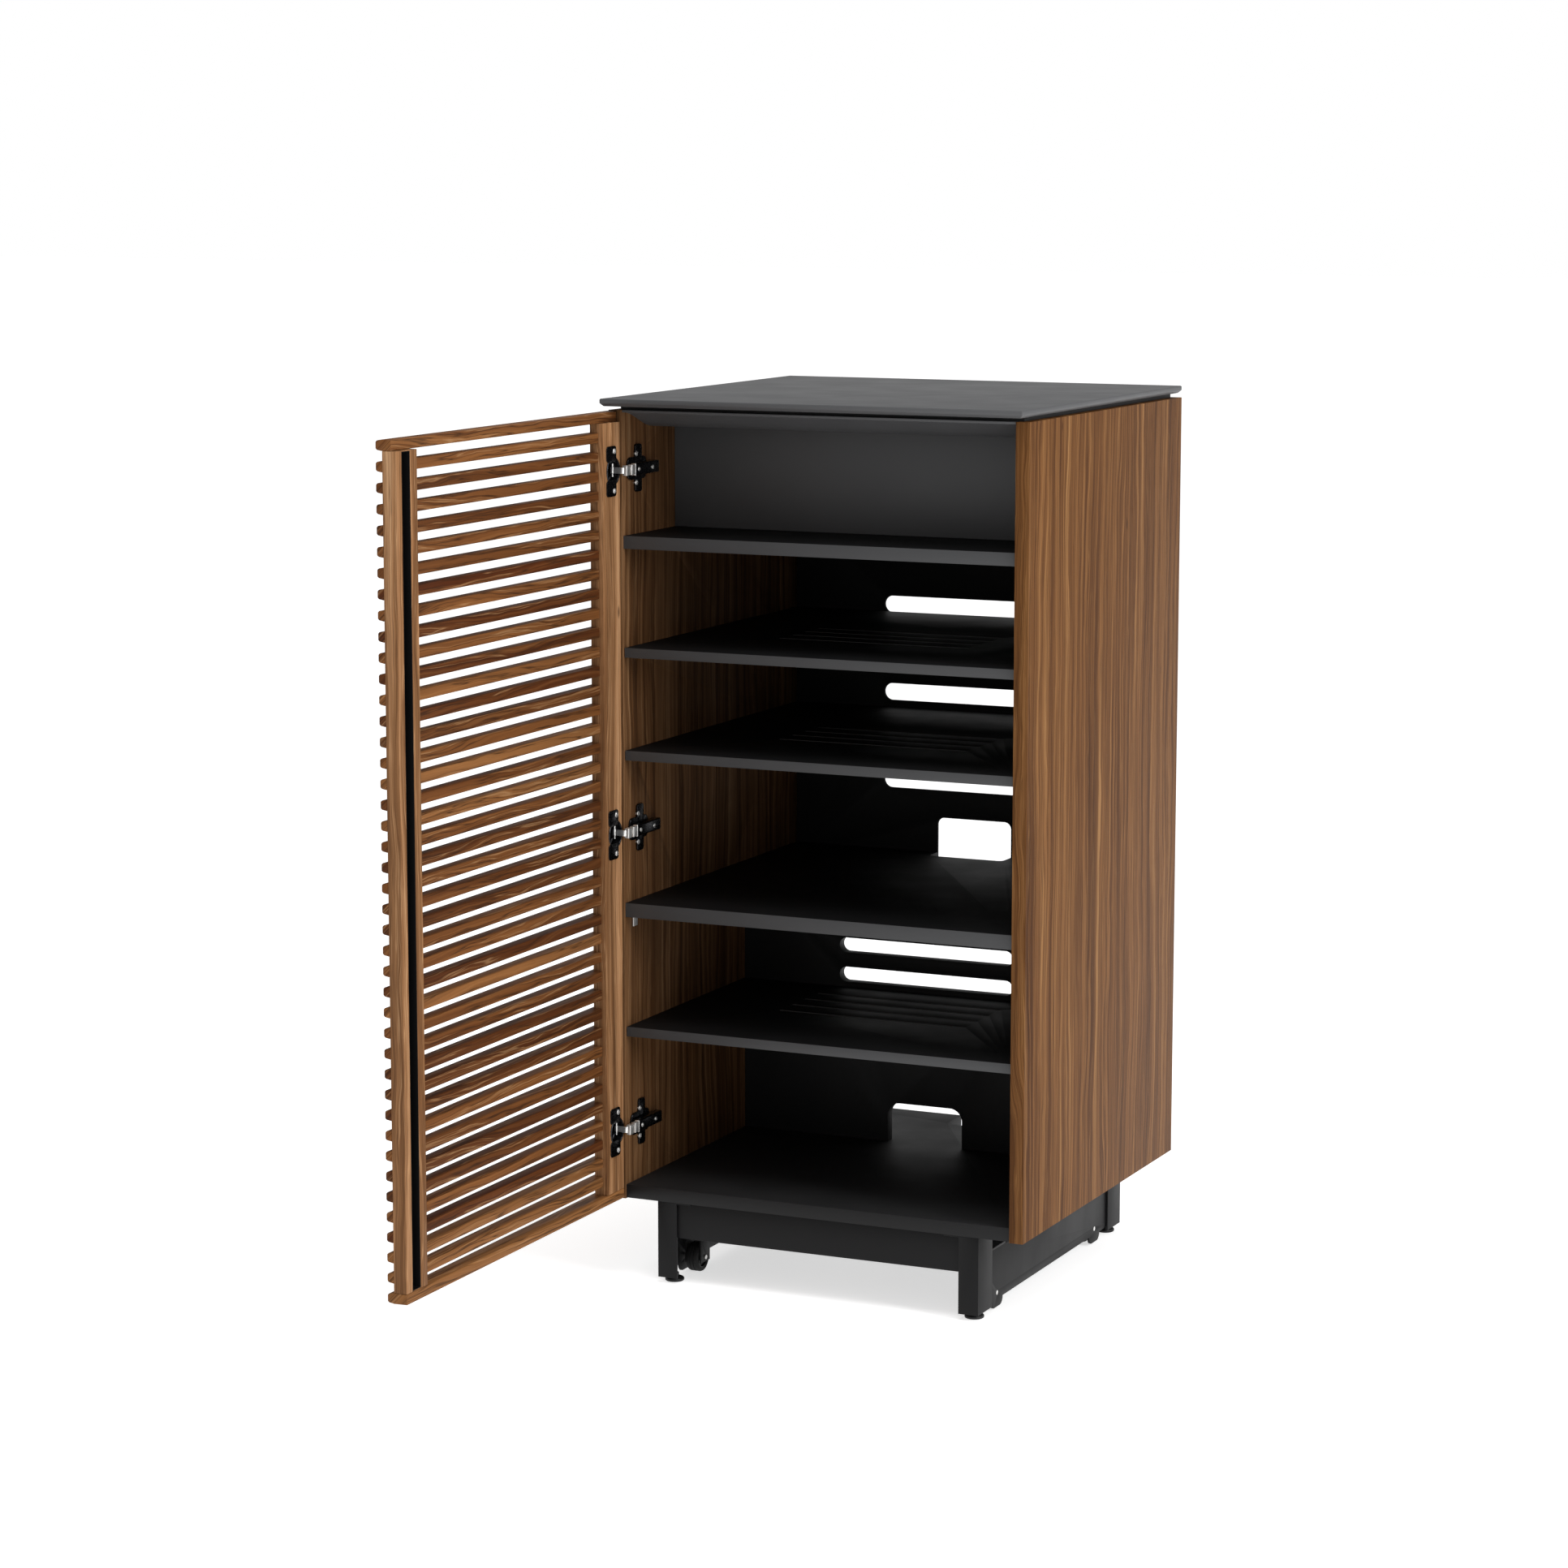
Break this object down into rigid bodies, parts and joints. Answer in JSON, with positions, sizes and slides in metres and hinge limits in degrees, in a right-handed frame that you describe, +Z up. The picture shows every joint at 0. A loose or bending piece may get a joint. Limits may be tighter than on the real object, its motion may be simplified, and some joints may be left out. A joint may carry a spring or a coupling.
{
  "type": "shoe cabinet",
  "caption": "Tall cabinet with one louvred side-hung door, open bays on fixed and adjustable shelves, cable cut-outs behind, and a steel base with levelling feet and wheels.",
  "frame": {"origin": "on the floor, midway between the side panels in X, and in Y in the plane of the door's hinge axis, which is also midway between the open door's free edge and the cabinet's rear", "axes": "+Z up; +X to the right for someone facing the cabinet; +Y towards the rear, so the front faces -Y. The rest pose has the door open at a right angle, lying along -Y."},
  "size_m": [0.6005, 1.156, 1.187],
  "materials": {
    "walnut_panel": "clear matt lacquer over walnut veneer",
    "walnut_slats": "clear matt lacquer over solid walnut",
    "walnut_stiles": "clear matt lacquer over solid walnut",
    "beech": "raw, hidden",
    "black_board": "black satin laminate on board",
    "top_lacquer": "dark satin lacquer on board",
    "base_steel": "black powder coat",
    "nickel": "bright nickel plate",
    "hinge_black": "black nickel",
    "pull_black": "black, matt",
    "foot_black": "black, moulded",
    "wheel_black": "black tread"
  },
  "bodies": {
    "cabinet": {"side_panel_left": "walnut_panel", "side_panel_right": "walnut_panel", "bottom_panel": "black_board", "sub_top": "black_board", "top_spacer": "black_board", "top_slab": "top_lacquer", "shelf_upper_fixed": "black_board", "shelf_middle_fixed": "black_board", "shelf_adjustable_1": "black_board", "shelf_adjustable_2": "black_board", "shelf_adjustable_3": "black_board", "back_panel_upper": "black_board", "back_panel_lower": "black_board", "rear_panel_upper": "black_board", "rear_panel_middle": "black_board", "shelf_pins": "nickel", "shelf_brackets": "nickel", "panel_dowels": "beech", "base_rail_front": "base_steel", "base_rail_rear": "base_steel", "base_rail_left": "base_steel", "base_rail_right": "base_steel", "leg_front_left": "base_steel", "leg_front_right": "base_steel", "leg_rear_left": "base_steel", "leg_rear_right": "base_steel", "corner_plates": "base_steel", "wheel_brackets": "base_steel", "wheel_axles": "nickel", "base_screws": "nickel", "hinge_arm_low": "nickel", "hinge_arm_mid": "nickel", "hinge_arm_top": "nickel", "hinge_plate_low": "hinge_black", "hinge_plate_mid": "hinge_black", "hinge_plate_top": "hinge_black", "hinge_plate_screws": "nickel"},
    "door": {"door_stile_hinge": "walnut_stiles", "door_stile_free": "walnut_stiles", "finger_pull": "pull_black", "door_slat_top": "walnut_slats", "door_slat_bottom": "walnut_slats", "door_slats_1": "walnut_slats", "door_slats_2": "walnut_slats", "door_slats_3": "walnut_slats", "door_slats_4": "walnut_slats", "door_slats_5": "walnut_slats", "hinge_cup_low": "hinge_black", "hinge_cup_mid": "hinge_black", "hinge_cup_top": "hinge_black", "hinge_pins": "nickel", "hinge_cup_screws": "nickel"},
    "leveller_front_left": {"leveller_front_left": "foot_black"},
    "leveller_front_right": {"leveller_front_right": "foot_black"},
    "leveller_rear_left": {"leveller_rear_left": "foot_black"},
    "leveller_rear_right": {"leveller_rear_right": "foot_black"},
    "wheel_front_left": {"wheel_front_left": "wheel_black"},
    "wheel_front_right": {"wheel_front_right": "wheel_black"},
    "wheel_rear_left": {"wheel_rear_left": "wheel_black"},
    "wheel_rear_right": {"wheel_rear_right": "wheel_black"}
  },
  "joints": [
    {"name": "door_swing", "type": "hinge", "parent": "cabinet", "child": "door", "pos_m": [-0.285, 0, 0.613], "axis": [0, 0, 1], "range_deg": [-12, 90]},
    {"name": "level_front_left", "type": "slide", "parent": "cabinet", "child": "leveller_front_left", "axis": [0, 0, 1], "range_m": [-0.01, 0]},
    {"name": "level_front_right", "type": "slide", "parent": "cabinet", "child": "leveller_front_right", "axis": [0, 0, 1], "range_m": [-0.01, 0]},
    {"name": "level_rear_left", "type": "slide", "parent": "cabinet", "child": "leveller_rear_left", "axis": [0, 0, 1], "range_m": [-0.01, 0]},
    {"name": "level_rear_right", "type": "slide", "parent": "cabinet", "child": "leveller_rear_right", "axis": [0, 0, 1], "range_m": [-0.01, 0]},
    {"name": "spin_front_left", "type": "hinge", "parent": "cabinet", "child": "wheel_front_left", "pos_m": [-0.209, 0.091, 0.0215], "axis": [1, 0, 0], "continuous": true},
    {"name": "spin_front_right", "type": "hinge", "parent": "cabinet", "child": "wheel_front_right", "pos_m": [0.209, 0.091, 0.0215], "axis": [1, 0, 0], "continuous": true},
    {"name": "spin_rear_left", "type": "hinge", "parent": "cabinet", "child": "wheel_rear_left", "pos_m": [-0.209, 0.453, 0.0215], "axis": [1, 0, 0], "continuous": true},
    {"name": "spin_rear_right", "type": "hinge", "parent": "cabinet", "child": "wheel_rear_right", "pos_m": [0.209, 0.453, 0.0215], "axis": [1, 0, 0], "continuous": true}
  ]
}
